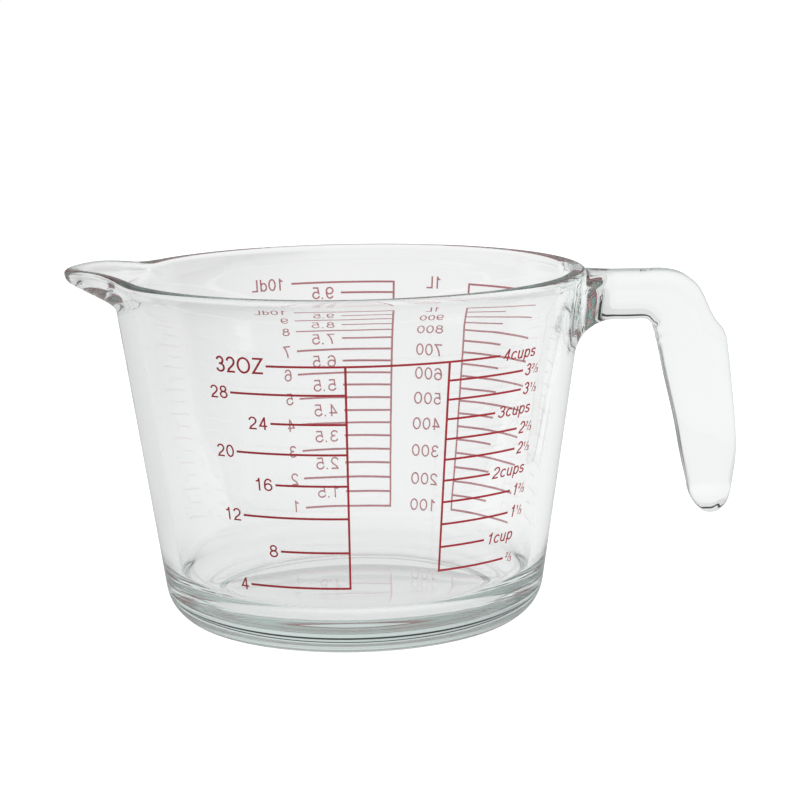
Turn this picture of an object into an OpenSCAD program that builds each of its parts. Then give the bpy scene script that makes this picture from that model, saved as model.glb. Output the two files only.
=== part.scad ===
// Measuring jug in pressed glass: a tapered bowl on a foot ring, a pouring spout drawn out of the rim,
// an open hook handle opposite the spout, and four measuring scales printed in enamel on the wall.
// The origin is the centre of the foot ring on the table. The handle points to +X and the front to -Y.

/* [Bowl] */
// Outer radius of the rim
rim_radius = 75; // [68:0.1:84]
// Height of the rim above the table
bowl_height = 111; // [102:0.5:130]
// Outer radius of the wall where its slope would meet the table
base_radius = 58.8; // [50:0.1:68]
// Thickness of the wall, measured level
wall_thickness = 4.9; // [3.5:0.1:7]
// Height of the inside floor above the table
floor_height = 10.6; // [7:0.1:15]
// Radius of the rounded heel between the wall and the underside
heel_radius = 13.2; // [8:0.1:18]
// Radius of the rounded corner inside, between the floor and the wall
corner_radius = 12; // [6:0.5:18]

/* [Foot] */
// Width of the flat ring that stands on the table
foot_ring_width = 2.7; // [1.5:0.1:6]
// Depth of the recess inside the ring
recess_depth = 1.6; // [0.6:0.1:3]
// Width of the sloping edge of the recess
recess_edge_width = 2.6; // [1:0.1:6]

/* [Rim] */
// Radius of the rounded outer edge of the rim
rim_outer_round = 1.5; // [1:0.1:3]
// Radius of the rounded inner edge of the rim
rim_inner_round = 1.6; // [1:0.1:3.5]
// Height of the band below the rim in which the wall thickens inwards
rim_swell_height = 9.5; // [8:0.5:14]
// Radius of the hollow curve along which the wall thickens
rim_swell_radius = 50; // [30:1:60]

/* [Pouring spout] */
// Reach of the tip past the rim
spout_reach = 14.9; // [8:0.1:20]
// Rise of the lip above the rim, at the tip
spout_rise = 2.1; // [0:0.1:4]
// Height of the wall that the spout is drawn out of
spout_height = 10; // [8.5:0.1:14]
// Step from the root of the keel outside up to the start of the channel inside
spout_throat = 3.5; // [2:0.1:5]
// Half of the angle of rim that the spout takes up
spout_half_angle = 34; // [24:1:42]

/* [Handle] */
// Reach of the handle past the rim
handle_reach = 47.6; // [38:0.1:58]
// Drop from the rim to the top of the handle
handle_top_drop = 1.5; // [0.5:0.1:6]
// Height of the handle, from its top to its free lower end
handle_height = 78.6; // [66:0.1:88]
// Height of the level bar that joins the handle to the bowl
bar_height = 15.2; // [10:0.1:18]
// Depth of the hanging grip, from its outer side to its finger side
grip_depth = 21.3; // [15:0.1:24]
// Width of the handle across the bar and the grip
handle_width = 17; // [12:0.5:22]
// Length of the rounded lower end
grip_end_length = 8.6; // [5:0.1:14]

/* [Printed scales] */
// Drop from the rim to the line for four cups, which are thirty-two ounces
four_cup_drop = 19.4; // [15:0.1:26]
// Drop from the rim to the line for a litre
litre_drop = 13.2; // [9:0.1:20]
// Thickness of the printed enamel
print_thickness = 0.15; // [0.1:0.01:0.3]
// Width of the printed lines
line_width = 0.65; // [0.5:0.05:1.2]
// Angle of the ounce bracket, from the front towards the handle
ounce_angle = -1.3; // [-6:0.1:4]
// Angle of the cup bracket, from the front towards the handle
cup_angle = 23.5; // [20:0.1:28]
// Angle of the decilitre bracket, from the back towards the handle
decilitre_angle = 12.4; // [6:0.1:16]
// Angle of the millilitre bracket, from the back towards the handle
millilitre_angle = 35; // [28:0.5:38]
// Angle that the long ounce lines take up
ounce_long_sweep = 28.7; // [24:0.1:34]
// Angle that the short ounce lines take up
ounce_short_sweep = 18.7; // [14:0.1:22]
// Angle that the long cup lines take up
cup_long_sweep = 22.3; // [18:0.1:28]
// Angle that the short cup lines take up
cup_short_sweep = 14.1; // [10:0.1:16]
// Angle that the long metric lines take up
metric_long_sweep = 28.6; // [22:0.1:32]
// Angle that the short metric lines take up
metric_short_sweep = 14.8; // [10:0.1:20]

/* [Hidden] */
$fn = 96;

glass = [0.86, 0.92, 0.90, 0.5];
enamel = [0.69, 0.16, 0.18];

// How far a cut runs past the glass
overrun = wall_thickness;

// The wall leans out: radius gained for each unit of height, and the length of that slope
lean = (rim_radius - base_radius) / bowl_height;
slope = sqrt(1 + lean * lean);

function outer_r(z) = base_radius + lean * z;
function inner_r(z) = outer_r(z) - wall_thickness;

// Rounded stretches of a section: points on a circle from one turn to another, in degrees
round_steps = 10;
function arc(centre, radius, from, to) =
    [
        for (i = [0 : round_steps])
            let (a = from + (to - from) * i / round_steps)
            centre + radius * [cos(a), sin(a)]
    ];

// Turn at which a rounded stretch runs into the wall
wall_turn = -atan(lean);

// Heel and inside corner: centres of their circles, and the point where the corner runs into the wall
heel_r = outer_r(heel_radius) - heel_radius * slope;
corner_z = floor_height + corner_radius;
corner_r = inner_r(corner_z) - corner_radius * slope;
corner_top = [corner_r + corner_radius / slope, corner_z - corner_radius * lean / slope];
recess_r = heel_r - foot_ring_width;

// Rim: the rounds are limited by the wall that carries them
outer_round_limit_share = 0.47;
inner_round_limit_share = 0.58;
outer_round = min(rim_outer_round, outer_round_limit_share * wall_thickness);
inner_round = min(rim_inner_round, inner_round_limit_share * wall_thickness);
swell_z = bowl_height - rim_swell_height;
swell_centre = [inner_r(swell_z) - rim_swell_radius / slope, swell_z + rim_swell_radius * lean / slope];
outer_round_centre = [
    outer_r(bowl_height - outer_round) - outer_round * slope,
    bowl_height - outer_round
];
inner_round_z = bowl_height - inner_round;
inner_round_rise = inner_round_z - swell_centre[1];
inner_round_span = sqrt(pow(rim_swell_radius + inner_round, 2) - pow(inner_round_rise, 2));
inner_round_centre = [swell_centre[0] + inner_round_span, inner_round_z];
swell_turn = atan2(inner_round_rise, inner_round_span);
swell_top = swell_centre[1] + rim_swell_radius * sin(swell_turn);
wall_top = outer_round_centre[1] + outer_round * sin(wall_turn);

// Radius of the inside wall with its thickening below the rim
function swell_r(z) =
    z < swell_z
    ? inner_r(z)
    : swell_centre[0] + sqrt(pow(rim_swell_radius, 2) - pow(z - swell_centre[1], 2));

// Spout: rings of points on planes through the axis, from one side of the spout to the other
spout_floor = bowl_height - spout_height;
spout_rings = 40;
wall_steps = 10;
// The lip narrows towards the tip, more so further down, and droops a little at the tip itself
reach_power = 2.66;
narrowing = 2;
lift_share = 2.63;
lift_power = 1.94;
droop_power = 5.17;
keel_slope = 1.28;
keel_softness = 0.02;

// Cosine bell over the angle of the spout, one at its middle and zero at its sides
function bell(turn) = (1 + cos(180 * turn / spout_half_angle)) / 2;
// Shape of the keel and the channel: straight at first, then rounding into an upright lip
function keel_bend(rise) = (1 + rise - sqrt(pow(1 - rise, 2) + keel_softness)) / 2;
function keel(share) =
    (keel_bend(keel_slope * max(0, share)) - keel_bend(0)) / (keel_bend(keel_slope) - keel_bend(0));

// Rise of the lip at an angle, as a share of its rise at the tip
function lip_lift(turn) =
    lift_share * pow(bell(turn), lift_power) - (lift_share - 1) * pow(bell(turn), droop_power);
function lip_power(rise_share) = reach_power * (1 + narrowing * pow(1 - rise_share, 2));

// Moves a point of the wall section out and up by shares of the spout's reach and rise
function drawn_out(point, turn, reach_share, rise_share) = [
    point[0] + spout_reach * reach_share * pow(bell(turn), lip_power(rise_share)),
    point[1] + spout_rise * rise_share * lip_lift(turn)
];

// Section of the spout on the plane at one angle: up the outside, over the lip and down the inside
function spout_section(turn) = [
    for (i = [0 : wall_steps - 1])
        let (share = i / wall_steps, z = spout_floor + share * (wall_top - spout_floor))
        drawn_out([outer_r(z), z], turn, keel(share), share),
    for (p = arc(outer_round_centre, outer_round, wall_turn, 90)) drawn_out(p, turn, 1, 1),
    for (p = arc(inner_round_centre, inner_round, 90, 180 + swell_turn)) drawn_out(p, turn, 1, 1),
    for (i = [1 : wall_steps])
        let (
            z = swell_top + (spout_floor - swell_top) * i / wall_steps,
            rise_share = (z - spout_floor) / (swell_top - spout_floor),
            share = (z - spout_floor - spout_throat) / (swell_top - spout_floor - spout_throat)
        )
        drawn_out([swell_r(z), z], turn, keel(share), rise_share)
];

// Handle: the outer side as shares of the reach and of the drop, the way to the finger side, and the depth
handle_top = bowl_height - handle_top_drop;
grip_drop = handle_height - grip_end_length;
section_points = 28;
// Flatter towards the fingers, rounder on the outer side
finger_power = 6;
outer_power = 3.4;
steps_per_station = 3;
end_rings = 7;
// Turn of the rounded lower end at which a small flat closes it, in degrees
end_turn = 84;

// Stations from inside the wall to the end of the grip: share of the reach, share of the drop, turn of
// the section in degrees, depth as shares of the bar height and of the grip depth, share of the width
station_shares = [
    [-0.16, 0.000, -90, 1.92, 0.00, 1.90],
    [-0.07, 0.000, -90, 1.51, 0.00, 1.50],
    [0.015, 0.000, -90, 1.20, 0.00, 1.22],
    [0.090, 0.000, -91, 1.04, 0.00, 1.06],
    [0.200, 0.000, -95, 1.00, 0.00, 1.00],
    [0.370, 0.000, -108, 1.05, 0.00, 1.00],
    [0.520, 0.000, -120, 1.15, 0.00, 1.00],
    [0.623, 0.015, -128, 0.80, 0.28, 1.00],
    [0.698, 0.046, -134, 0.50, 0.52, 1.00],
    [0.762, 0.093, -142, 0.25, 0.70, 1.00],
    [0.846, 0.215, -162, 0.00, 0.89, 1.00],
    [0.922, 0.287, -173, 0.00, 1.01, 1.00],
    [0.945, 0.368, -181, 0.00, 1.02, 1.00],
    [0.968, 0.510, -184, 0.00, 0.99, 0.99],
    [0.996, 0.713, -184, 0.00, 0.90, 0.96],
    [1.000, 0.858, -183, 0.00, 0.82, 0.90],
    [0.972, 1.000, -181, 0.00, 0.65, 0.80]
];

// Value at a share of the way between the middle two of four values, on a smooth curve through them all
function smooth(a, b, c, d, t) =
    b + t / 2 * (c - a + t * (2 * a - 5 * b + 4 * c - d + t * (3 * (b - c) + d - a)));

function station(i) = station_shares[max(0, min(len(station_shares) - 1, i))];
handle_stations = [
    for (i = [0 : len(station_shares) - 2], j = [0 : steps_per_station - 1])
        smooth(station(i - 1), station(i), station(i + 1), station(i + 2), j / steps_per_station),
    station(len(station_shares) - 1)
];

// One rounded section of the handle about a middle point in the XZ plane
function rounded_section(middle, turn, depth, width) = [
    for (i = [0 : section_points - 1])
        let (
            a = 360 * i / section_points,
            power = cos(a) > 0 ? finger_power : outer_power,
            along = sign(cos(a)) * pow(abs(cos(a)), 2 / power) * depth / 2,
            across = sign(sin(a)) * pow(abs(sin(a)), 2 / power) * width / 2
        )
        [middle[0] + along * cos(turn), across, middle[1] + along * sin(turn)]
];

function station_depth(s) = bar_height * s[3] + grip_depth * s[4];
function station_middle(s) =
    [rim_radius + handle_reach * s[0], handle_top - grip_drop * s[1]]
    + station_depth(s) / 2 * [cos(s[2]), sin(s[2])];

handle_rings = [
    for (s = handle_stations)
        rounded_section(station_middle(s), s[2], station_depth(s), handle_width * s[5]),
    for (i = [1 : end_rings])
        let (s = station(len(station_shares) - 1), a = end_turn * i / end_rings)
        rounded_section(
            station_middle(s) - [0, grip_end_length * sin(a)],
            s[2], station_depth(s) * cos(a), handle_width * s[5] * cos(a)
        )
];

// Scales: a line's height follows from the volume below it. The inside is a rounded bottom under a cone.
corner_rest = corner_z - corner_top[1];
corner_half_chord = sqrt(pow(corner_radius, 2) - pow(corner_rest, 2));
corner_sector = (PI / 2 - asin(corner_rest / corner_radius) * PI / 180) * pow(corner_radius, 2);
bottom_volume = PI * (
    (pow(corner_r, 2) + pow(corner_radius, 2)) * (corner_radius - corner_rest)
    + corner_r * (corner_sector - corner_rest * corner_half_chord)
    - (pow(corner_radius, 3) - pow(corner_rest, 3)) / 3
);
function volume_below(z) = bottom_volume + PI / (3 * lean) * (pow(inner_r(z), 3) - pow(corner_top[0], 3));
four_cup_height = bowl_height - four_cup_drop;
litre_height = bowl_height - litre_drop;

// Height of the line for a share of the volume below a full line
function line_height(share, full_height) =
    let (
        volume = share * volume_below(full_height),
        cube_r = pow(corner_top[0], 3) + 3 * lean / PI * (volume - bottom_volume)
    )
    (pow(cube_r, 1 / 3) + wall_thickness - base_radius) / lean;

// Lines of each scale: the number of steps in its full volume, and the steps that carry a line
ounce_steps = 8;
ounce_lines = [1 : 8];
cup_steps = 12;
cup_lines = [2 : 12];
metric_steps = 20;
metric_lines = [2 : 20];

// Heights of the lines, and the angles that they take up: every other one is short, or every third cup line
ounce_heights = [for (i = ounce_lines) line_height(i / ounce_steps, four_cup_height)];
ounce_sweeps = [for (i = ounce_lines) i % 2 == 0 ? ounce_short_sweep : ounce_long_sweep];
cup_heights = [for (i = cup_lines) line_height(i / cup_steps, four_cup_height)];
cup_sweeps = [for (i = cup_lines) i % 3 == 0 ? cup_short_sweep : cup_long_sweep];
metric_heights = [for (i = metric_lines) line_height(i / metric_steps, litre_height)];
metric_sweeps = [for (i = metric_lines) i % 2 == 0 ? metric_long_sweep : metric_short_sweep];

// Half of the angle that the upright of a scale takes up
bracket_half_sweep = line_width / 2 / outer_r(bowl_height / 2) * 180 / PI;

// Angles about the axis, from +X, of an angle measured towards the handle from the front or from the back
function from_front(a) = a - 90;
function from_back(a) = 90 - a;

// Section of the bowl on one side of its axis: the inside, the rim, the outside, the heel and the foot
module bowl_section() {
    polygon([
        [0, floor_height],
        each arc([corner_r, corner_z], corner_radius, -90, wall_turn),
        each arc(swell_centre, rim_swell_radius, wall_turn, swell_turn),
        each arc(inner_round_centre, inner_round, 180 + swell_turn, 90),
        each arc(outer_round_centre, outer_round, 90, wall_turn),
        each arc([heel_r, heel_radius], heel_radius, wall_turn, -90),
        [recess_r, 0], [recess_r - recess_edge_width, recess_depth], [0, recess_depth]
    ]);
}

// The bowl filled up to its rim, which whatever stands against the wall is cut to
module filled_bowl() {
    rotate_extrude()
        polygon([
            [0, bowl_height],
            each arc(outer_round_centre, outer_round, 90, wall_turn),
            each arc([heel_r, heel_radius], heel_radius, wall_turn, -90),
            [0, 0]
        ]);
}

// Wedge of the rim that the spout takes the place of
module spout_wedge() {
    wedge_r = rim_radius + overrun;
    wedge_half_width = wedge_r * tan(spout_half_angle);
    translate([0, 0, spout_floor])
        linear_extrude(spout_height + overrun)
            polygon([[0, 0], [-wedge_r, wedge_half_width], [-wedge_r, -wedge_half_width]]);
}

// Closes a row of rings, each with as many points. The cap at each end is a strip from side to side.
module ring_loft(rings) {
    count = len(rings[0]);
    last = len(rings) - 1;
    polyhedron(
        points = [for (ring = rings) each ring],
        faces = [
            for (i = [0 : count / 2 - 2])
                let (a = i, b = count - 1 - i)
                each [[a, a + 1, b], [b, a + 1, b - 1]],
            for (k = [0 : last - 1], i = [0 : count - 1])
                let (a = k * count + i, b = k * count + (i + 1) % count)
                each [[a, a + count, b], [b, a + count, b + count]],
            for (i = [0 : count / 2 - 2])
                let (a = last * count + i, b = last * count + count - 1 - i)
                each [[a, b, a + 1], [b, b - 1, a + 1]]
        ]
    );
}

// Turns a section about the axis from one angle to another
module turned(from_angle, to_angle) {
    rotate([0, 0, min(from_angle, to_angle)])
        rotate_extrude(angle = abs(to_angle - from_angle))
            children();
}

// Stretch of enamel on the wall between two heights and two angles
module film(low, high, from_angle, to_angle) {
    turned(from_angle, to_angle)
        polygon([
            [outer_r(low), low], [outer_r(low) + print_thickness, low],
            [outer_r(high) + print_thickness, high], [outer_r(high), high]
        ]);
}

// Stretch that stays bare, cut through the enamel
module bare(low, high, from_angle, to_angle) {
    inside = outer_r(low) - overrun;
    outside = outer_r(high) + overrun;
    turned(from_angle, to_angle)
        polygon([[inside, low], [outside, low], [outside, high], [inside, high]]);
}

// One scale: an upright bracket with lines to one side, out of one film. The top line may run on past the
// bracket to the other side, by an angle of its own.
module scale_print(heights, sweeps, angle, side, top_sweep) {
    lowest = heights[0] - line_width / 2;
    top = len(heights) - 1;
    highest = heights[top] + line_width / 2;
    near = angle + side * bracket_half_sweep;
    past = angle + side * (max(sweeps) + bracket_half_sweep);
    difference() {
        film(lowest, highest, angle - side * top_sweep, angle + side * max(sweeps));
        for (i = [1 : top])
            bare(heights[i - 1] + line_width / 2, heights[i] - line_width / 2, near, past);
        for (i = [0 : top])
            if (sweeps[i] < max(sweeps))
                bare(heights[i] - line_width, heights[i] + line_width, angle + side * sweeps[i], past);
        if (top_sweep > bracket_half_sweep)
            bare(
                lowest - line_width, highest - line_width,
                angle - side * bracket_half_sweep, angle - side * (top_sweep + bracket_half_sweep)
            );
    }
}

module glass_bowl() {
    color(glass)
        difference() {
            rotate_extrude() bowl_section();
            spout_wedge();
        }
}

module pouring_spout() {
    color(glass)
        ring_loft([
            for (k = [0 : spout_rings])
                let (turn = spout_half_angle * (2 * k / spout_rings - 1))
                [for (p = spout_section(turn)) [-p[0] * cos(turn), -p[0] * sin(turn), p[1]]]
        ]);
}

module handle() {
    color(glass)
        difference() {
            ring_loft(handle_rings);
            filled_bowl();
        }
}

module ounce_scale() {
    color(enamel)
        scale_print(
            ounce_heights, ounce_sweeps, from_front(ounce_angle), -1,
            cup_angle - bracket_half_sweep - ounce_angle
        );
}

module cup_scale() {
    color(enamel)
        scale_print(cup_heights, cup_sweeps, from_front(cup_angle), 1, bracket_half_sweep);
}

module decilitre_scale() {
    color(enamel)
        scale_print(metric_heights, metric_sweeps, from_back(decilitre_angle), 1, bracket_half_sweep);
}

module millilitre_scale() {
    color(enamel)
        scale_print(metric_heights, metric_sweeps, from_back(millilitre_angle), -1, bracket_half_sweep);
}

glass_bowl();
pouring_spout();
handle();
ounce_scale();
cup_scale();
decilitre_scale();
millilitre_scale();
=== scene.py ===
"""Visual model of a pressed-glass measuring jug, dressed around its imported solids.

The bowl, the spout and the handle are one pressing, so one mesh stands for the three solids. The four
printed scales keep their solids, and the figures and unit words beside their lines are added here.
"""

import logging
import math
from contextlib import contextmanager
from dataclasses import dataclass, field
from enum import Enum
from functools import reduce
from typing import Callable, Iterator, Optional, Union

import bmesh
import bpy
from mathutils import Matrix, Vector, noise


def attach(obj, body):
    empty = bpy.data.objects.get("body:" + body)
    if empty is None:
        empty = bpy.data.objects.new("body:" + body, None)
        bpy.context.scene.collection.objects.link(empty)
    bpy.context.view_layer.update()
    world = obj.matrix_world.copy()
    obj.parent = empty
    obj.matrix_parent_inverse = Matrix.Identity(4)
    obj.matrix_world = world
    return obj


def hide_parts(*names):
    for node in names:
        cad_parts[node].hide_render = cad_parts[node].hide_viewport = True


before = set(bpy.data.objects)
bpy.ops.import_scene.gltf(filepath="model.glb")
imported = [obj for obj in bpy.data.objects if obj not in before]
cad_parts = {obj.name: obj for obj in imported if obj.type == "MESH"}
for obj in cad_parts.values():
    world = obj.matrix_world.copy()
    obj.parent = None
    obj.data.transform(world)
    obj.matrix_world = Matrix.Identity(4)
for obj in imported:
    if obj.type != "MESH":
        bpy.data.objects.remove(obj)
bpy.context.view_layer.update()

MM = 0.001
BODY = "root"
LOG = logging.getLogger("measuring_jug")
TINY = 1e-6
RISING = (0.0, 1.0)
FALLING = (1.0, 0.0)
WHITE = (1.0, 1.0, 1.0, 1.0)

Point = tuple[float, float]
Place = tuple[float, float, float]
Colour = tuple[float, float, float, float]
Socket = bpy.types.NodeSocket
Level = Union[float, Socket]
Paint = Union[Colour, Socket]
Sources = dict[Union[int, str], Union[Level, Paint, Place]]


class Align(Enum):
    """Where a figure's own width lies from its start angle, as read from outside."""

    LEFT = 0.0
    CENTRE = 0.5
    RIGHT = 1.0


class Ray(Enum):
    """Kinds of ray that a backdrop answers with its own brightness."""

    CAMERA = "Is Camera Ray"
    GLOSSY = "Is Glossy Ray"
    TRANSMISSION = "Is Transmission Ray"


def deselect_all() -> None:
    """Leaves nothing selected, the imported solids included."""
    for obj in bpy.context.selected_objects:
        obj.select_set(False)


def take(obj: bpy.types.Object) -> None:
    """Makes one object the only selected and active one.

    Args:
        obj: The object.
    """
    deselect_all()
    obj.select_set(True)
    bpy.context.view_layer.objects.active = obj


@contextmanager
def editing(obj: bpy.types.Object) -> Iterator[None]:
    """Opens a mesh in edit mode with everything selected, and closes it afterwards.

    Args:
        obj: The object that has the mesh.

    Yields:
        Nothing, once the mesh is open.
    """
    take(obj)
    bpy.ops.object.mode_set(mode="EDIT")
    bpy.ops.mesh.select_all(action="SELECT")
    yield
    bpy.ops.object.mode_set(mode="OBJECT")


class Shading:
    """Nodes of a material or of the light tent, and short ways to add to them."""

    def __init__(self, owner: Union[bpy.types.Material, bpy.types.World]) -> None:
        """Starts from Blender's standard nodes."""
        owner.use_nodes = True
        self.nodes, self.links = owner.node_tree.nodes, owner.node_tree.links

    def fill(self, node: bpy.types.Node, sources: Sources) -> None:
        """Fills inputs of a node.

        Args:
            node: The node.
            sources: Another socket or a plain value for each input, by its name or number.
        """
        for key, source in sources.items():
            if isinstance(source, Socket):
                self.links.new(source, node.inputs[key])
            else:
                node.inputs[key].default_value = source

    def add(self, kind: str, sources: Optional[Sources] = None, **settings: str) -> bpy.types.Node:
        """Adds a node.

        Args:
            kind: Blender's name for it, without the start that all such names share.
            sources: What its inputs are filled with.
            settings: Its other settings.

        Returns:
            The node.
        """
        node = self.nodes.new(f"ShaderNode{kind}")
        for name, value in settings.items():
            setattr(node, name, value)
        self.fill(node, sources or {})
        return node

    def worked_out(self, operation: str, first: Level, second: Level) -> Socket:
        """Result of a sum on two levels, by Blender's name for the sum."""
        return self.add("Math", {0: first, 1: second}, operation=operation).outputs[0]

    def product(self, *factors: Socket) -> Socket:
        """Product of levels."""
        return reduce(lambda first, second: self.worked_out("MULTIPLY", first, second), factors)

    def coordinates(self, kind: str) -> list[Socket]:
        """Place of the point at hand along X, Y and Z, by Blender's name for the coordinates."""
        place = self.add("TexCoord").outputs[kind]
        return list(self.add("SeparateXYZ", {0: place}).outputs)

    def fade(self, value: Socket, span: Point, ends: Point) -> Socket:
        """Adds a soft change from one level to another over a span of a value.

        Args:
            value: The value.
            span: Where the change starts and ends.
            ends: Level at the start and at the end.

        Returns:
            The level.
        """
        names = ("From Min", "From Max", "To Min", "To Max")
        sources = {"Value": value, **dict(zip(names, span + ends))}
        return self.add("MapRange", sources, interpolation_type="SMOOTHSTEP").outputs["Result"]

    def mixed(self, share: Socket, first: Paint, second: Paint) -> Socket:
        """Adds a mix of two colours.

        Args:
            share: Share of the second colour.
            first: First colour, or the socket that gives it.
            second: Second colour, or the socket that gives it.

        Returns:
            The mixed colour.
        """
        mix = self.add("Mix", {"Factor": share}, data_type="RGBA")
        places = [i for i, socket in enumerate(mix.inputs) if socket.type == "RGBA"]
        self.fill(mix, dict(zip(places, (first, second))))
        return next(socket for socket in mix.outputs if socket.type == "RGBA")


def ellipse(centre: Point, radii: Point, start: float, end: float, steps: int) -> list[Point]:
    """Points on an ellipse.

    Args:
        centre: Middle of the ellipse.
        radii: Half of its width and half of its height.
        start: First turn, in degrees.
        end: Last turn, in degrees.
        steps: Number of steps between them.

    Returns:
        The points from the first turn to the last.
    """
    turns = [math.radians(start + (end - start) * i / steps) for i in range(steps + 1)]
    return [(centre[0] + radii[0] * math.cos(a), centre[1] + radii[1] * math.sin(a)) for a in turns]


def arc(centre: Point, radius: float, start: float, end: float, steps: int) -> list[Point]:
    """Points on a circle in a section, from one turn to another."""
    return ellipse(centre, (radius, radius), start, end, steps)


def rounded_corner(before: Point, corner: Point, after: Point, radius: float, steps: int) -> list[Point]:
    """Replaces a corner of a section by a small arc.

    Args:
        before: Point that the section comes from.
        corner: The corner itself.
        after: Point that the section goes to.
        radius: Radius of the arc.
        steps: Number of steps along it.

    Returns:
        Points of the arc, in the order of the section.
    """
    here = Vector(corner)
    back, ahead = (Vector(before) - here).normalized(), (Vector(after) - here).normalized()
    half = back.angle(ahead) / 2
    reach = radius / math.tan(half)
    middle = here + (back + ahead).normalized() * radius / math.sin(half)
    first, last = here + back * reach - middle, here + ahead * reach - middle
    points = []
    for i in range(steps + 1):
        spoke = first.lerp(last, i / steps).normalized() * radius
        points.append(tuple(middle + spoke))
    return points


def between(first: float, last: float, steps: int) -> list[float]:
    """Evenly spaced values after the first one, up to and with the last."""
    return [first + (last - first) * i / steps for i in range(1, steps + 1)]


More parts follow.
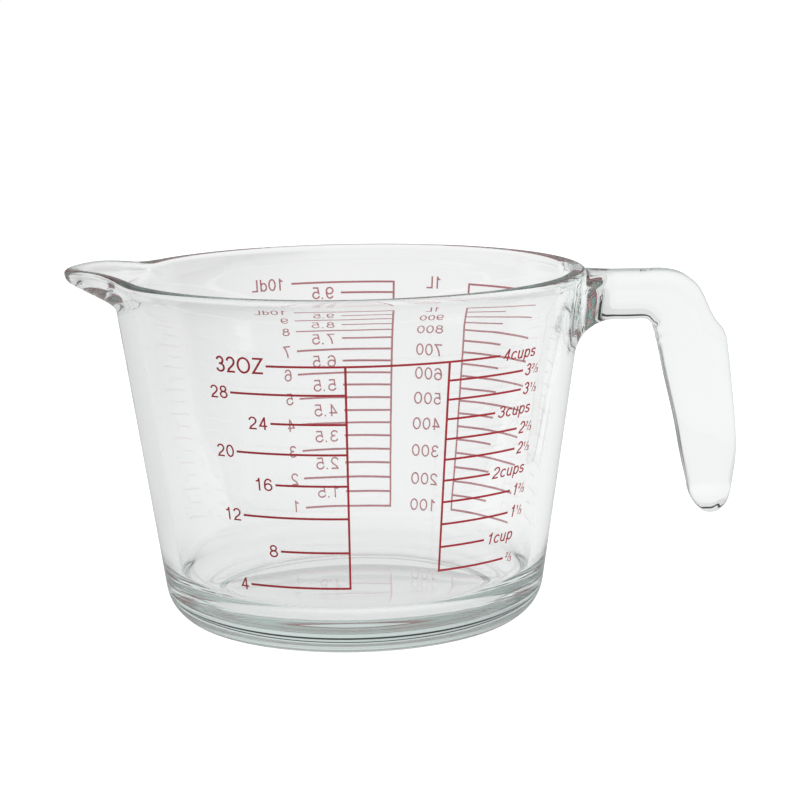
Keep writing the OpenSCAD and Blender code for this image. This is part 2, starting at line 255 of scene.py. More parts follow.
@dataclass
class BowlSection:
    """Section of the bowl on one side of its axis, in millimetres.

    Its rows are close on the outside down to one height, below which the spout and the handle leave the
    wall as it is.
    """

    rim_radius: float = 75.0
    bowl_height: float = 111.0
    base_radius: float = 58.8
    wall_thickness: float = 4.9
    floor_height: float = 10.6
    heel_radius: float = 13.2
    corner_radius: float = 12.0
    foot_ring_width: float = 2.7
    recess_depth: float = 1.6
    recess_edge_width: float = 2.6
    recess_round: float = 0.3
    rim_outer_round: float = 1.5
    rim_inner_round: float = 1.6
    rim_swell_height: float = 9.5
    rim_swell_radius: float = 50.0
    swell_lead: float = 2.5
    print_seat: float = 0.04
    lip_depth: float = 8.4
    close_low: float = 84.5
    floor_steps: int = 9
    corner_steps: int = 22
    wall_steps: int = 26
    swell_steps: int = 22
    rim_steps: tuple[int, int, int] = (16, 12, 5)
    lip_steps: int = 12
    heel_steps: int = 30
    round_steps: int = 5

    def __post_init__(self) -> None:
        """Works out the circles that the section is made of."""
        self.lean = (self.rim_radius - self.base_radius) / self.bowl_height
        self.slope = math.hypot(1, self.lean)
        self.wall_turn = -math.degrees(math.atan(self.lean))
        self.heel_r = self.outer_r(self.heel_radius) - self.heel_radius * self.slope
        self.corner_z = self.floor_height + self.corner_radius
        self.corner_r = self.inner_r(self.corner_z) - self.corner_radius * self.slope
        self.recess_r = self.heel_r - self.foot_ring_width
        swell_z = self.bowl_height - self.rim_swell_height
        self.swell_centre = (
            self.inner_r(swell_z) - self.rim_swell_radius / self.slope,
            swell_z + self.rim_swell_radius * self.lean / self.slope,
        )
        self.outer_centre = (
            self.outer_r(self.bowl_height - self.rim_outer_round) - self.rim_outer_round * self.slope,
            self.bowl_height - self.rim_outer_round,
        )
        inner_z = self.bowl_height - self.rim_inner_round
        rise = inner_z - self.swell_centre[1]
        span = math.sqrt((self.rim_swell_radius + self.rim_inner_round) ** 2 - rise**2)
        self.inner_centre = (self.swell_centre[0] + span, inner_z)
        self.swell_turn = math.degrees(math.atan2(rise, span))
        swell_rise = math.sin(math.radians(self.swell_turn))
        self.swell_start = swell_z - self.swell_lead
        self.swell_top = self.swell_centre[1] + self.rim_swell_radius * swell_rise
        self.wall_top = self.outer_centre[1] + self.rim_outer_round * math.sin(math.radians(self.wall_turn))
        self.heel_top = self.heel_radius * (1 - self.lean / self.slope)

    def outer_r(self, z: float) -> float:
        """Radius of the outside at a height, with the seat that the print is let into."""
        return self.base_radius + self.lean * z + self.print_seat

    def inner_r(self, z: float) -> float:
        """Radius of the straight inside wall at a height."""
        return self.outer_r(z) - self.print_seat - self.wall_thickness

    def swelling_r(self, z: float) -> float:
        """Radius of the inside below the rim, where the wall thickens more and more.

        Args:
            z: Height, between the start and the top of the swell.

        Returns:
            The radius.
        """
        share = (z - self.swell_start) / (self.swell_top - self.swell_start)
        top_r = self.swell_centre[0] + self.rim_swell_radius * math.cos(math.radians(self.swell_turn))
        return self.inner_r(z) - (self.inner_r(self.swell_top) - top_r) * share**3

    def outside(self, radius: float, z: float) -> bool:
        """Whether a point lies on the outer half of the wall."""
        return radius > self.outer_r(z) - self.wall_thickness / 2

    def surface_r(self, z: float) -> float:
        """Radius of the outside at a height, over the rounded edge of the rim too.

        Args:
            z: Height, above the heel.

        Returns:
            The radius.
        """
        if z <= self.wall_top:
            return self.outer_r(z)
        rise = z - self.outer_centre[1]
        return self.outer_centre[0] + math.sqrt(self.rim_outer_round**2 - rise**2)

    def points(self, mark_z: float) -> list[Point]:
        """Points of the section, from the axis inside over the rim to the axis underneath.

        Args:
            mark_z: Height on the outer edge of the rim that has a point of its own.

        Returns:
            Radius and height of each point.
        """
        radii = [0.0] + between(0, self.corner_r, self.floor_steps)[:-1]
        floor = [(r, self.floor_height) for r in radii]
        corner_centre, heel_centre = (self.corner_r, self.corner_z), (self.heel_r, self.heel_radius)
        corner = arc(corner_centre, self.corner_radius, -90, self.wall_turn, self.corner_steps)
        rows = between(corner[-1][1], self.swell_start, self.wall_steps)
        wall = [(self.inner_r(z), z) for z in rows]
        rows = between(self.swell_start, self.swell_top, self.swell_steps)
        swell = [(self.swelling_r(z), z) for z in rows]
        inner_steps, upper_steps, lower_steps = self.rim_steps
        inner = arc(self.inner_centre, self.rim_inner_round, 180 + self.swell_turn, 90, inner_steps)
        mark = math.degrees(math.asin((mark_z - self.outer_centre[1]) / self.rim_outer_round))
        upper = arc(self.outer_centre, self.rim_outer_round, 90, mark, upper_steps)
        lower = arc(self.outer_centre, self.rim_outer_round, mark, self.wall_turn, lower_steps)
        lip_end = self.wall_top - self.lip_depth
        rows = between(self.wall_top, lip_end, self.lip_steps)
        rows += between(lip_end, self.close_low, self.lip_steps)
        rows += between(self.close_low, self.heel_top, self.wall_steps)
        outside = [(self.outer_r(z), z) for z in rows[:-1]]
        heel = arc(heel_centre, self.heel_radius, self.wall_turn, -90, self.heel_steps)
        edge = (self.recess_r, 0.0)
        step = (self.recess_r - self.recess_edge_width, self.recess_depth)
        middle = (0.0, self.recess_depth)
        foot = rounded_corner(heel[-1], edge, step, self.recess_round, self.round_steps)
        recess = rounded_corner(edge, step, middle, self.recess_round, self.round_steps)
        under = [(r, self.recess_depth) for r in between(recess[-1][0], 0, self.floor_steps)]
        return (
            floor + corner + wall + swell + inner[1:] + upper + lower[1:]
            + outside + heel + foot + recess + under
        )


@dataclass
class SpoutDraw:
    """How far the rim is drawn out into the spout, in millimetres and degrees.

    The lip narrows towards the tip and droops a little there. At the sides of the spout its inner edge is
    lower and its outer edge higher than on the rim.
    """

    section: BowlSection
    reach: float = 14.9
    rise: float = 2.1
    lift_share: float = 2.63
    lift_power: float = 1.94
    droop_power: float = 5.17
    height: float = 10.0
    throat: float = 3.5
    half_angle: float = 34.0
    reach_power: float = 2.66
    narrowing: float = 2.0
    keel_slope: float = 1.28
    keel_softness: float = 0.02
    gather: float = 0.5
    lip_level: float = 0.55

    @property
    def root(self) -> float:
        """Height at which the keel leaves the wall."""
        return self.section.bowl_height - self.height

    def bend(self, rise: float) -> float:
        """Straight at first, then rounding into a level stretch."""
        return (1 + rise - math.sqrt((1 - rise) ** 2 + self.keel_softness)) / 2

    def keel(self, share: float) -> float:
        """Share of the reach at a share of the spout's height."""
        low = self.bend(0)
        return (self.bend(self.keel_slope * max(0.0, share)) - low) / (self.bend(self.keel_slope) - low)

    def shares(self, radius: float, z: float) -> Point:
        """Shares of the reach and of the rise at a point of the section.

        Args:
            radius: Radius of the point.
            z: Height of the point.

        Returns:
            Share of the reach and share of the rise.
        """
        outside = self.section.outside(radius, z)
        top = self.section.wall_top if outside else self.section.swell_top
        if z >= top:
            return 1.0, 1.0
        rise = max(0.0, (z - self.root) / (top - self.root))
        if outside:
            return self.keel(rise), rise
        return self.keel((z - self.root - self.throat) / (top - self.root - self.throat)), rise

    def gathered(self, turn: float, z: float) -> float:
        """Turn of a column after the columns are gathered towards the middle of the spout.

        Args:
            turn: Turn of the column from the middle, in degrees.
            z: Height, as they gather only near the rim.

        Returns:
            The new turn.
        """
        start = self.section.close_low
        share = min(1.0, (z - start) / (self.root - start))
        turn_share = (abs(turn) / self.half_angle) ** (1 + share * self.gather)
        return math.copysign(self.half_angle * turn_share, turn)

    def moved(self, x: float, y: float, z: float) -> Optional[Vector]:
        """Place of a point of the bowl after the spout is drawn out.

        Args:
            x: Place along X, in millimetres.
            y: Place along Y.
            z: Height.

        Returns:
            The new place, or None where the spout doesn't reach.
        """
        turn = math.degrees(math.atan2(-y, -x))
        if abs(turn) >= self.half_angle or z <= self.section.close_low:
            return None
        turn = self.gathered(turn, z)
        radius = math.hypot(x, y)
        bell = (1 + math.cos(math.pi * turn / self.half_angle)) / 2
        reach_share, rise_share = self.shares(radius, z)
        half_wall = self.section.wall_thickness / 2
        across = max(-1.0, min(1.0, (self.section.rim_radius - half_wall - radius) / half_wall))
        level = self.lip_level * across * math.sin(math.pi * turn / self.half_angle) ** 2
        power = self.reach_power * (1 + self.narrowing * (1 - rise_share) ** 2)
        radius += self.reach * reach_share * bell**power
        lift = self.lift_share * bell**self.lift_power - (self.lift_share - 1) * bell**self.droop_power
        angle = math.radians(turn)
        height = z + (self.rise * lift - level) * rise_share
        return Vector((-radius * math.cos(angle), -radius * math.sin(angle), height))


@dataclass
class HandleLoft:
    """Path and sections of the handle, in millimetres.

    The root flares out of the wall, more widely to its sides, and the grip ends in a rounded tip with
    flat faces. A station gives the shares of the reach and the drop, the turn of the section in degrees,
    its depth as shares of the bar height and the grip depth, and the share of the width. The columns are
    those of the bowl around its axis.
    """

    section: BowlSection
    columns: int
    reach: float = 47.6
    top_drop: float = 1.5
    height: float = 78.6
    bar_height: float = 15.2
    grip_depth: float = 21.3
    width: float = 17.0
    end_length: float = 8.6
    finger_power: float = 6.0
    outer_power: float = 3.4
    flare_inset: float = 0.93
    flare_leave: float = 0.42
    flare_arrive: float = 0.38
    flare_level: float = 0.55
    flare_side: float = 0.7
    side_leave: float = 0.12
    side_arrive: float = 0.45
    flare_aim: float = 0.2
    root_half_columns: int = 11
    root_rings: int = 9
    steps_per_station: int = 5
    end_turns: tuple[float, ...] = (6, 12, 18, 24, 32, 40, 50, 58)
    end_blunt: float = 0.8
    end_flat: float = 5.0
    end_taper: float = 0.15
    first_station: int = 2
    station_shares: tuple[tuple[float, ...], ...] = (
        (0.015, 0.000, -90, 1.20, 0.00, 1.22),
        (0.090, 0.000, -91, 1.04, 0.00, 1.06),
        (0.200, 0.000, -95, 1.00, 0.00, 1.00),
        (0.370, 0.000, -108, 1.05, 0.00, 1.00),
        (0.520, 0.000, -120, 1.15, 0.00, 1.00),
        (0.623, 0.015, -128, 0.80, 0.28, 1.00),
        (0.698, 0.046, -134, 0.50, 0.52, 1.00),
        (0.762, 0.093, -142, 0.25, 0.70, 1.00),
        (0.846, 0.215, -162, 0.00, 0.89, 1.00),
        (0.922, 0.287, -173, 0.00, 1.01, 1.00),
        (0.945, 0.368, -181, 0.00, 1.02, 1.00),
        (0.968, 0.510, -184, 0.00, 0.99, 0.99),
        (0.996, 0.713, -184, 0.00, 0.90, 0.96),
        (1.000, 0.858, -183, 0.00, 0.82, 0.90),
        (0.972, 1.000, -181, 0.00, 0.65, 0.80),
    )

    @property
    def top(self) -> float:
        """Height of the top of the handle."""
        return self.section.bowl_height - self.top_drop

    @property
    def root_low(self) -> float:
        """Height of the lowest point of the handle's outline on the wall."""
        return self.section.close_low

    @property
    def half_angle(self) -> float:
        """Angle about the axis that half the outline on the wall takes up, in degrees."""
        return self.root_half_columns * 360 / self.columns

    @property
    def last_station(self) -> int:
        """Number of the station where the rounded end starts."""
        return len(self.station_shares) - 1

    def station(self, place: float) -> list[float]:
        """Sizes at a place along the stations, on a smooth curve through them.

        Args:
            place: Number of the station, with a fraction between two.

        Returns:
            Shares of reach and drop, turn, and shares of bar height, grip depth and width.
        """
        i = min(int(place), self.last_station - 1)
        t = place - i
        around = (max(0, min(self.last_station, k)) for k in (i - 1, i, i + 1, i + 2))
        a, b, c, d = (self.station_shares[k] for k in around)
        return [
            q + t / 2 * (r - p + t * (2 * p - 5 * q + 4 * r - s + t * (3 * (q - r) + s - p)))
            for p, q, r, s in zip(a, b, c, d)
        ]

    def ring_point(self, place: float, across: float, along: float, end: float = 0.0) -> Vector:
        """Point of the handle's section at a place along its stations.

        Args:
            place: Number of the station, with a fraction between two.
            across: Share of half the width, towards +Y.
            along: Share of half the depth, towards the outer side.
            end: Share of the way from the last station to the tip of the rounded end.

        Returns:
            The point.
        """
        reach, fall, turn, bar, grip, wide = self.station(place)
        depth = self.bar_height * bar + self.grip_depth * grip
        way = Vector((math.cos(math.radians(turn)), 0, math.sin(math.radians(turn))))
        drop = (self.height - self.end_length) * fall
        outer = Vector((self.section.rim_radius + self.reach * reach, 0, self.top - drop))
        middle = outer + way * depth / 2 - Vector((0, 0, self.end_length * end))
        flat = (1 - end**self.end_flat) ** (1 / self.end_flat)
        shrink = math.sqrt(1 - end ** (2 / self.end_blunt)) * (1 - self.end_taper * end)
        side = Vector((0, across * flat * self.width * wide / 2, 0))
        return middle - way * along * shrink * depth / 2 + side

    def unit_ring(self, at: Point) -> Point:
        """Takes a point on the edge of a square to the rounded section of the handle.

        Args:
            at: Place across and along, from -1 to 1.

        Returns:
            Place across and along on the rounded section, in the same shares.
        """
        u, v = at
        power = self.finger_power if v < 0 else self.outer_power
        corner = 0.5 ** (1 / power)
        if abs(u) >= abs(v):
            along = corner * v / max(abs(u), TINY)
            return math.copysign((1 - abs(along) ** power) ** (1 / power), u), along
        across = corner * u / abs(v)
        return across, math.copysign((1 - abs(across) ** power) ** (1 / power), v)

    def root_point(self, at: Point, inset: float = 1.0) -> Vector:
        """Point of the handle's outline on the wall.

        Args:
            at: Place on the edge of a square, from -1 to 1.
            inset: Scale of the outline.

        Returns:
            The point on the outside of the bowl.
        """
        across, along = self.unit_ring(at)
        z = (self.top + self.root_low) / 2 + along * inset * (self.top - self.root_low) / 2
        angle = math.radians(across * inset * self.half_angle)
        radius = self.section.surface_r(z)
        return Vector((radius * math.cos(angle), radius * math.sin(angle), z))

    def flared(self, at: Point, t: float) -> Vector:
        """Point on the flare between the wall and the first free section.

        Args:
            at: Place on the edge of a square, from -1 to 1.
            t: Share of the way from the wall to the section.

        Returns:
            The point.
        """
        across, along = self.unit_ring(at)
        start, inner = self.root_point(at), self.root_point(at, self.flare_inset)
        end = self.ring_point(self.first_station, across, along)
        before = self.ring_point(self.first_station - self.flare_aim, across, along)
        length = (end - start).length
        level = max(0.0, (along - self.flare_level) / (1 - self.flare_level))
        way = (inner - start).normalized().lerp(Vector((1, 0, 0)), level)
        sideways = max(0.0, 1 - (along / self.flare_side) ** 2)
        leave_share = self.flare_leave + (self.side_leave - self.flare_leave) * sideways
        arrive_share = self.flare_arrive + (self.side_arrive - self.flare_arrive) * sideways
        leave = start + way * length * leave_share
        arrive = end - (end - before).normalized() * length * arrive_share
        s = 1 - t
        return s**3 * start + 3 * s * s * t * leave + 3 * s * t * t * arrive + t**3 * end


@dataclass
class PressedGlass:
    """The whole pressing: bowl, spout and handle in one closed skin."""

    section: BowlSection = field(default_factory=BowlSection)
    columns: int = 256
    ripple_depth: float = 0.045
    ripple_length: float = 24.0
    fine_share: float = 0.3
    fine_length: float = 8.0
    weld: float = 0.005
    slack: float = 0.01
    edge_share: float = 0.999
    patch_names: tuple[str, str] = ("patch_u", "patch_v")

    def __post_init__(self) -> None:
        """Fits the spout and the handle to the bowl."""
        self.spout = SpoutDraw(self.section)
        self.handle = HandleLoft(self.section, self.columns)

    def build(self) -> bpy.types.Object:
        """Models the pressing.

        Returns:
            The finished object, at the origin.
        """
        self.obj = self.turned_bowl()
        with editing(self.obj):
            self.extrude_handle()
        for name in self.patch_names:
            self.obj.data.attributes.remove(self.obj.data.attributes[name])
        self.draw_spout()
        self.add_ripple()
        take(self.obj)
        bpy.ops.object.shade_smooth()
        return self.obj

    def turned_bowl(self) -> bpy.types.Object:
        """Extrudes the section point by point and spins it about the axis.

        Returns:
            The plain bowl.
        """
        points = self.section.points(self.handle.top)
        deselect_all()
        bpy.ops.mesh.primitive_plane_add(size=MM)
        obj = bpy.context.active_object
        obj.name = "pressed_glass"
        with editing(obj):
            bpy.ops.mesh.merge(type="CENTER")
            bpy.ops.transform.translate(value=(points[0][0] * MM, 0, points[0][1] * MM))
            for (r0, z0), (r1, z1) in zip(points, points[1:]):
                bpy.ops.mesh.extrude_vertices_move(
                    TRANSFORM_OT_translate={"value": ((r1 - r0) * MM, 0, (z1 - z0) * MM)}
                )
            bpy.ops.mesh.select_all(action="SELECT")
            bpy.ops.mesh.spin(steps=self.columns, angle=math.tau, center=(0, 0, 0), axis=(0, 0, 1))
            bpy.ops.mesh.select_all(action="SELECT")
            bpy.ops.mesh.remove_doubles(threshold=self.weld * MM)
            bpy.ops.mesh.normals_make_consistent(inside=False)
        return obj

    def extrude_handle(self) -> None:
        """Extrudes the handle out of a patch of the wall, ring by ring, in edit mode."""
        handle = self.handle
        bpy.ops.mesh.select_mode(type="FACE")
        bpy.ops.mesh.select_all(action="DESELECT")
        self.mark_patch()
        self.place_patch(handle.root_point)
        for i in range(1, handle.root_rings + 1):
            self.extrude_ring(lambda at, t=i / handle.root_rings: handle.flared(at, t))
        last = handle.last_station
        for i in range(1, (last - handle.first_station) * handle.steps_per_station + 1):
            place = handle.first_station + i / handle.steps_per_station
            self.extrude_ring(lambda at, p=place: handle.ring_point(p, *handle.unit_ring(at)))
        for turn in handle.end_turns:
            end = math.sin(math.radians(turn)) ** handle.end_blunt
            self.extrude_ring(lambda at, e=end: handle.ring_point(last, *handle.unit_ring(at), e))
        self.close_end(math.cos(math.radians(handle.end_turns[-1])))
        bpy.ops.mesh.select_mode(type="VERT")

    def mark_patch(self) -> None:
        """Selects the patch of the wall and notes on each point its place on a square, from -1 to 1."""
        low, high, half_angle = self.handle.root_low, self.handle.top, self.handle.half_angle
        mesh = bmesh.from_edit_mesh(self.obj.data)
        layers = [mesh.verts.layers.float.new(name) for name in self.patch_names]
        for face in mesh.faces:
            x, y, z = face.calc_center_median() / MM
            inside_patch = abs(math.degrees(math.atan2(y, x))) < half_angle
            inside_patch &= low - self.slack < z < high + self.slack
            if inside_patch and self.section.outside(math.hypot(x, y), z):
                face.select_set(True)
        for vert in (v for v in mesh.verts if v.select):
            x, y, z = vert.co / MM
            vert[layers[0]] = math.degrees(math.atan2(y, x)) / half_angle
            vert[layers[1]] = (2 * z - high - low) / (high - low)

    def patch_places(self, mesh: bmesh.types.BMesh) -> dict[bmesh.types.BMVert, Point]:
        """Place on the square for each point of the selected patch."""
        across, along = (mesh.verts.layers.float[name] for name in self.patch_names)
        return {vert: (vert[across], vert[along]) for vert in mesh.verts if vert.select}

    def extrude_ring(self, place: Callable[[Point], Vector]) -> None:
        """Extrudes the patch once and sets its edge on the next section, as in place_patch."""
        bpy.ops.mesh.extrude_region_move(TRANSFORM_OT_translate={"value": (0, 0, 0)})
        self.place_patch(place)

    def place_patch(self, place: Callable[[Point], Vector]) -> None:
        """Moves the selected patch onto a section, its inside in proportion.

        Args:
            place: Gives the point of the section for a place on the edge of a square.
        """
        mesh = bmesh.from_edit_mesh(self.obj.data)
        places = self.patch_places(mesh)
        targets = {vert: place(at) for vert, at in places.items() if max(map(abs, at)) > self.edge_share}
        middle = sum(targets.values(), Vector()) / len(targets)
        for vert, (u, v) in places.items():
            share = max(abs(u), abs(v))
            point = targets.get(vert)
            if point is None:
                point = middle if share < TINY else middle.lerp(place((u / share, v / share)), share)
            vert.co = point * MM
        bmesh.update_edit_mesh(self.obj.data)

    def close_end(self, shrink: float) -> None:
        """Rounds the patch into the end of the grip.

        Args:
            shrink: Scale of the last ring, which the round goes on from.
        """
        handle = self.handle
        mesh = bmesh.from_edit_mesh(self.obj.data)
        for vert, (u, v) in self.patch_places(mesh).items():
            share = max(abs(u), abs(v))
            ring = handle.unit_ring((u / share, v / share)) if share > TINY else (0.0, 0.0)
            size = share * shrink
            end = (1 - size * size) ** (handle.end_blunt / 2)
            vert.co = handle.ring_point(handle.last_station, *ring, end) * MM
        bmesh.update_edit_mesh(self.obj.data)

    def draw_spout(self) -> None:
        """Draws the rim out into the spout, as the press does."""
        for vert in self.obj.data.vertices:
            place = self.spout.moved(*(vert.co / MM))
            if place is not None:
                vert.co = place * MM
        self.obj.data.update()

    def add_ripple(self) -> None:
        """Gives the inside wall the faint ripple of pressed glass."""
        for vert in self.obj.data.vertices:
            x, y, z = vert.co / MM
            radius = math.hypot(x, y)
            if z < self.section.floor_height or radius < self.section.corner_r:
                continue
            if self.section.outside(radius, z):
                continue
            wave = noise.noise(Vector((x, y, z)) / self.ripple_length)
            wave += self.fine_share * noise.noise(Vector((x, y, z)) / self.fine_length)
            vert.co += Vector((x, y, 0)).normalized() * wave * self.ripple_depth * MM
        self.obj.data.update()


@dataclass(frozen=True)
class GlassFinish:
    """Clear soda glass with a faint grey-green tint in its depth."""

    name: str = "clear_glass"
    ior: float = 1.517
    tint: Colour = (0.80, 0.89, 0.87, 1.0)
    density: float = 12.0

    def build(self) -> bpy.types.Material:
        """Makes the material.

        Returns:
            The material.
        """
        material = bpy.data.materials.new(self.name)
        shading = Shading(material)
        clear = {"Base Color": WHITE, "Roughness": 0.0, "IOR": self.ior, "Transmission Weight": 1.0}
        shading.fill(shading.nodes["Principled BSDF"], clear)
        depth = shading.add("VolumeAbsorption", {"Color": self.tint, "Density": self.density})
        shading.fill(shading.nodes["Material Output"], {"Volume": depth.outputs[0]})
        return material


@dataclass(frozen=True)
class EnamelFinish:
    """Red enamel, screened onto the glass and fired.

    It is deep red outside and paler on the side that faces the glass. Behind the jug, that side has a
    painted glow, an emission that stands in for the backdrop shining through the print.
    """

    name: str = "red_enamel"
    deep: Colour = (0.34, 0.012, 0.022, 1.0)
    thin: Colour = (0.44, 0.028, 0.042, 1.0)
    under: Colour = (0.74, 0.33, 0.36, 1.0)
    # Colour and strength of the painted glow; unlit is the emission colour where there is no glow.
    glow: Colour = (0.74, 0.28, 0.32, 1.0)
    unlit: Colour = (0.0, 0.0, 0.0, 1.0)
    painted_glow_strength: float = 0.32
    grain: float = 900.0
    grain_detail: float = 3.0
    roughness: float = 0.35

    def build(self) -> bpy.types.Material:
        """Makes the material.

        Returns:
            The material.
        """
        material = bpy.data.materials.new(self.name)
        shading = Shading(material)
        place = shading.add("TexCoord").outputs["Object"]
        grain = {"Vector": place, "Scale": self.grain, "Detail": self.grain_detail}
        outside = shading.mixed(shading.add("TexNoise", grain).outputs["Fac"], self.deep, self.thin)
        inward = self.inward(shading, place)
        # Painted glow: on prints behind the jug, the side that faces the glass glows as if backlit.
        depth = shading.add("SeparateXYZ", {0: place}).outputs["Y"]
        painted_glow_share = shading.product(inward, shading.worked_out("GREATER_THAN", depth, 0.0))
        shading.fill(shading.nodes["Principled BSDF"], {
            "Base Color": shading.mixed(inward, outside, self.under),
            "Emission Color": shading.mixed(painted_glow_share, self.unlit, self.glow),
            "Emission Strength": self.painted_glow_strength,
            "Roughness": self.roughness,
        })
        return material

    @staticmethod
    def inward(shading: Shading, place: Socket) -> Socket:
        """Adds nodes that tell which side of the print faces the glass.

        Args:
            shading: Nodes to add to.
            place: Place of the point at hand.

        Returns:
            One on that side, and zero elsewhere.
        """
        level = shading.add("VectorMath", {0: place, 1: (1, 1, 0)}, operation="MULTIPLY")
        normal = shading.add("NewGeometry").outputs["Normal"]
        facing = shading.add("VectorMath", {0: level.outputs[0], 1: normal}, operation="DOT_PRODUCT")
        return shading.worked_out("LESS_THAN", facing.outputs["Value"], 0.0)


@dataclass(frozen=True)
class Lettering:
    """Height of a digit in millimetres, and its width, slant and boldness against the plain pen."""

    size: float
    width: float = 1.0
    slant: float = 0.0
    weight: float = 1.0


@dataclass(frozen=True)
class Figure:
    """One figure or word beside a line: where it starts on the wall, and how it is drawn."""

    text: str
    angle: float
    z: float
    align: Align
    drawn: Lettering


@dataclass(frozen=True)
class Stroke:
    """Centre line of one pen stroke, in shares of the height of a digit."""

    points: tuple[Point, ...]
    closed: bool = False


def bow(centre: Point, radii: Point, start: float, end: float, step: float = 15.0) -> tuple[Point, ...]:
    """Points on an ellipse for a stroke, a step in degrees apart that looks round."""
    return tuple(ellipse(centre, radii, start, end, round(abs(end - start) / step)))


def ring(centre: Point, radii: Point) -> Stroke:
    """Closed stroke around an ellipse."""
    return Stroke(bow(centre, radii, 0, 360)[:-1], closed=True)


class Pen:
    """Plain upright figures and the letters of the unit words, drawn as pen strokes of one width."""

    width = 0.12
    middle = 0.5
    advance = {
        "1": 0.74, "O": 1.06, "Z": 0.86, "c": 0.69, "u": 0.74, "p": 0.75, "s": 0.66, "d": 0.76, "L": 0.74,
        ".": 0.36, "/": 0.36,
    }
    digit_advance = 0.78
    tail = (
        bow((0.335, 0.72), (0.235, 0.22), 8, 112) + ((0.145, 0.82), (0.09, 0.67), (0.067, 0.5))
        + bow((0.33, 0.32), (0.265, 0.26), 176, 532)
    )
    strokes: dict[str, tuple[Stroke, ...]] = {
        "0": (ring((0.33, 0.5), (0.265, 0.44)),),
        "1": (
            Stroke(((0.14, 0.745), (0.27, 0.775), (0.345, 0.85), (0.375, 0.94))),
            Stroke(((0.39, 1.0), (0.39, 0.0))),
        ),
        "2": (Stroke(
            bow((0.325, 0.69), (0.255, 0.25), 172, -36)
            + ((0.46, 0.45), (0.31, 0.335), (0.17, 0.22), (0.09, 0.06), (0.6, 0.06))
        ),),
        "3": (
            Stroke(bow((0.315, 0.735), (0.225, 0.205), 168, -90) + ((0.24, 0.53),)),
            Stroke(((0.3, 0.53),) + bow((0.32, 0.295), (0.265, 0.235), 82, -170)),
        ),
        "4": (
            Stroke(((0.46, 0.0), (0.46, 0.99))),
            Stroke(((0.44, 0.93), (0.085, 0.29), (0.64, 0.29))),
        ),
        "5": (Stroke(
            ((0.57, 0.94), (0.165, 0.94), (0.105, 0.49)) + bow((0.315, 0.325), (0.265, 0.265), 140, -168)
        ),),
        "6": (Stroke(tail),),
        "7": (Stroke(
            ((0.06, 0.94), (0.59, 0.94), (0.45, 0.73), (0.34, 0.48), (0.27, 0.24), (0.245, 0.0))
        ),),
        "8": (ring((0.33, 0.735), (0.215, 0.205)), ring((0.33, 0.29), (0.265, 0.23))),
        "9": (Stroke(tuple((0.66 - x, 1 - y) for x, y in tail)),),
        "O": (ring((0.48, 0.5), (0.41, 0.45)),),
        "Z": (Stroke(((0.08, 0.94), (0.72, 0.94), (0.07, 0.06), (0.75, 0.06))),),
        "c": (Stroke(bow((0.32, 0.365), (0.25, 0.31), 40, 320)),),
        "u": (
            Stroke(((0.1, 0.73),) + bow((0.3, 0.26), (0.2, 0.2), 180, 345)),
            Stroke(((0.51, 0.73), (0.51, 0.0))),
        ),
        "p": (Stroke(((0.11, 0.73), (0.11, -0.28))), ring((0.355, 0.365), (0.245, 0.31))),
        "s": (Stroke(
            bow((0.3, 0.525), (0.2, 0.15), 20, 250) + bow((0.295, 0.215), (0.22, 0.155), 72, -160)
        ),),
        "d": (Stroke(((0.53, 1.0), (0.53, 0.0))), ring((0.3, 0.365), (0.235, 0.31))),
        "L": (Stroke(((0.12, 1.0), (0.12, 0.06), (0.6, 0.06))),),
        ".": (Stroke(((0.17, 0.0), (0.17, 0.13))),),
        "/": (Stroke(((0.0, 0.0), (0.34, 1.0))),),
    }

    @classmethod
    def step(cls, letter: str) -> float:
        """Width that one letter takes up, with the space after it."""
        return cls.advance.get(letter, cls.digit_advance)

    @classmethod
    def measure(cls, word: str) -> float:
        """Width of a word, in digit heights."""
        return sum(cls.step(letter) for letter in word)


